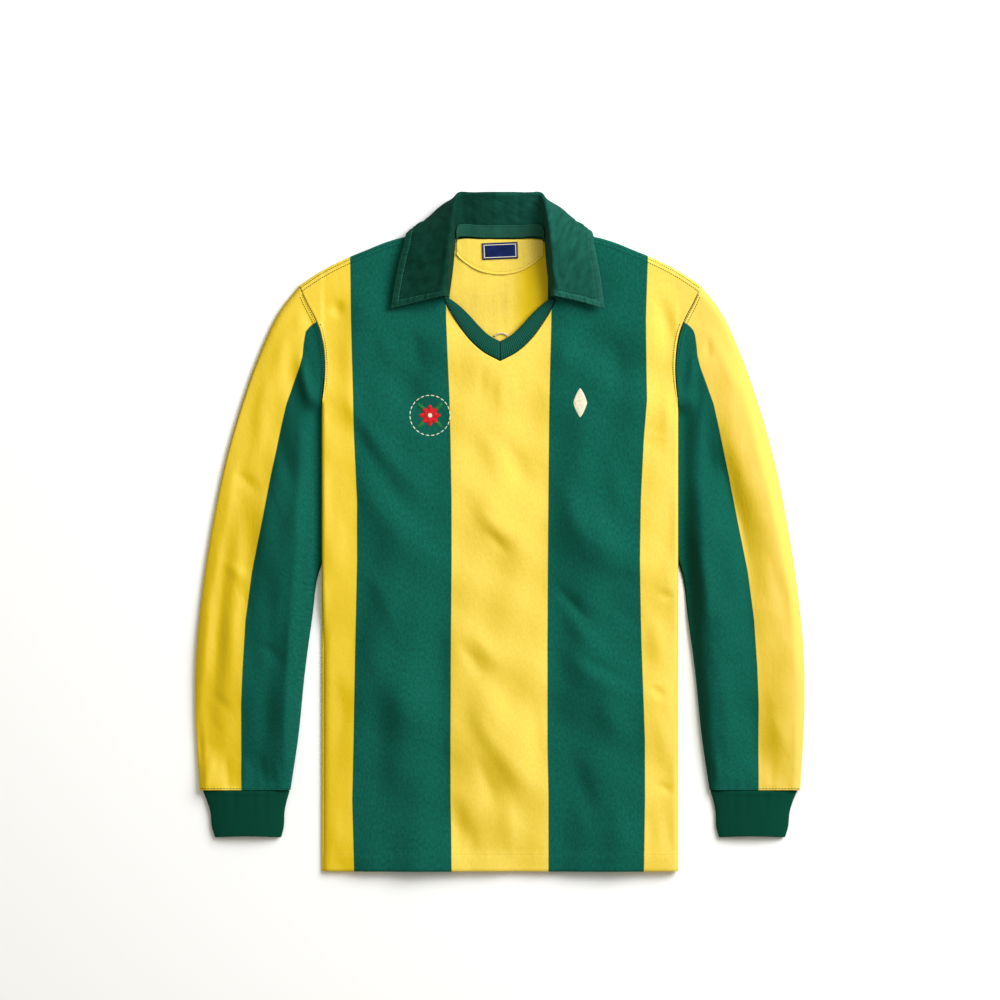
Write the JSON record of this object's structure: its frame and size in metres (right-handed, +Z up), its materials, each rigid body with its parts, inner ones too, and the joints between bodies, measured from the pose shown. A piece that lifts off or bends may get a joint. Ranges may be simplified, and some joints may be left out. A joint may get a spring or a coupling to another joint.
{
  "type": "polo shirt",
  "caption": "Long-sleeved polo shirt with wide vertical stripes, a turned-over collar, a ribbed V insert and ribbed cuffs, laid flat on its back.",
  "frame": {"origin": "middle of the bounding box in plan, on the surface that the shirt lies on", "axes": "+Z up, out of the front of the shirt; +Y towards the collar; +X towards the wearer's left side"},
  "size_m": [0.7, 0.7814, 0.039],
  "materials": {
    "jersey": "heavy cotton jersey in wide yellow and bottle-green stripes",
    "collar_twill": "dark green cotton twill with topstitching",
    "cuff_rib": "dark green fine rib",
    "neck_rib": "green rib",
    "neck_tape": "green herringbone tape",
    "half_moon": "yellow jersey patch",
    "label": "plain navy woven label with a cream border",
    "thread": "dark green sewing thread",
    "embroidery": "satin-stitched motif"
  },
  "bodies": {
    "root": {"front": "jersey", "back": "jersey", "sleeve_left": "jersey", "sleeve_right": "jersey", "cuff_left": "cuff_rib", "cuff_right": "cuff_rib", "collar": "collar_twill", "neck_rib_left": "neck_rib", "neck_rib_right": "neck_rib", "neck_tape": "neck_tape", "half_moon": "half_moon", "neck_label": "label"}
  },
  "joints": []
}
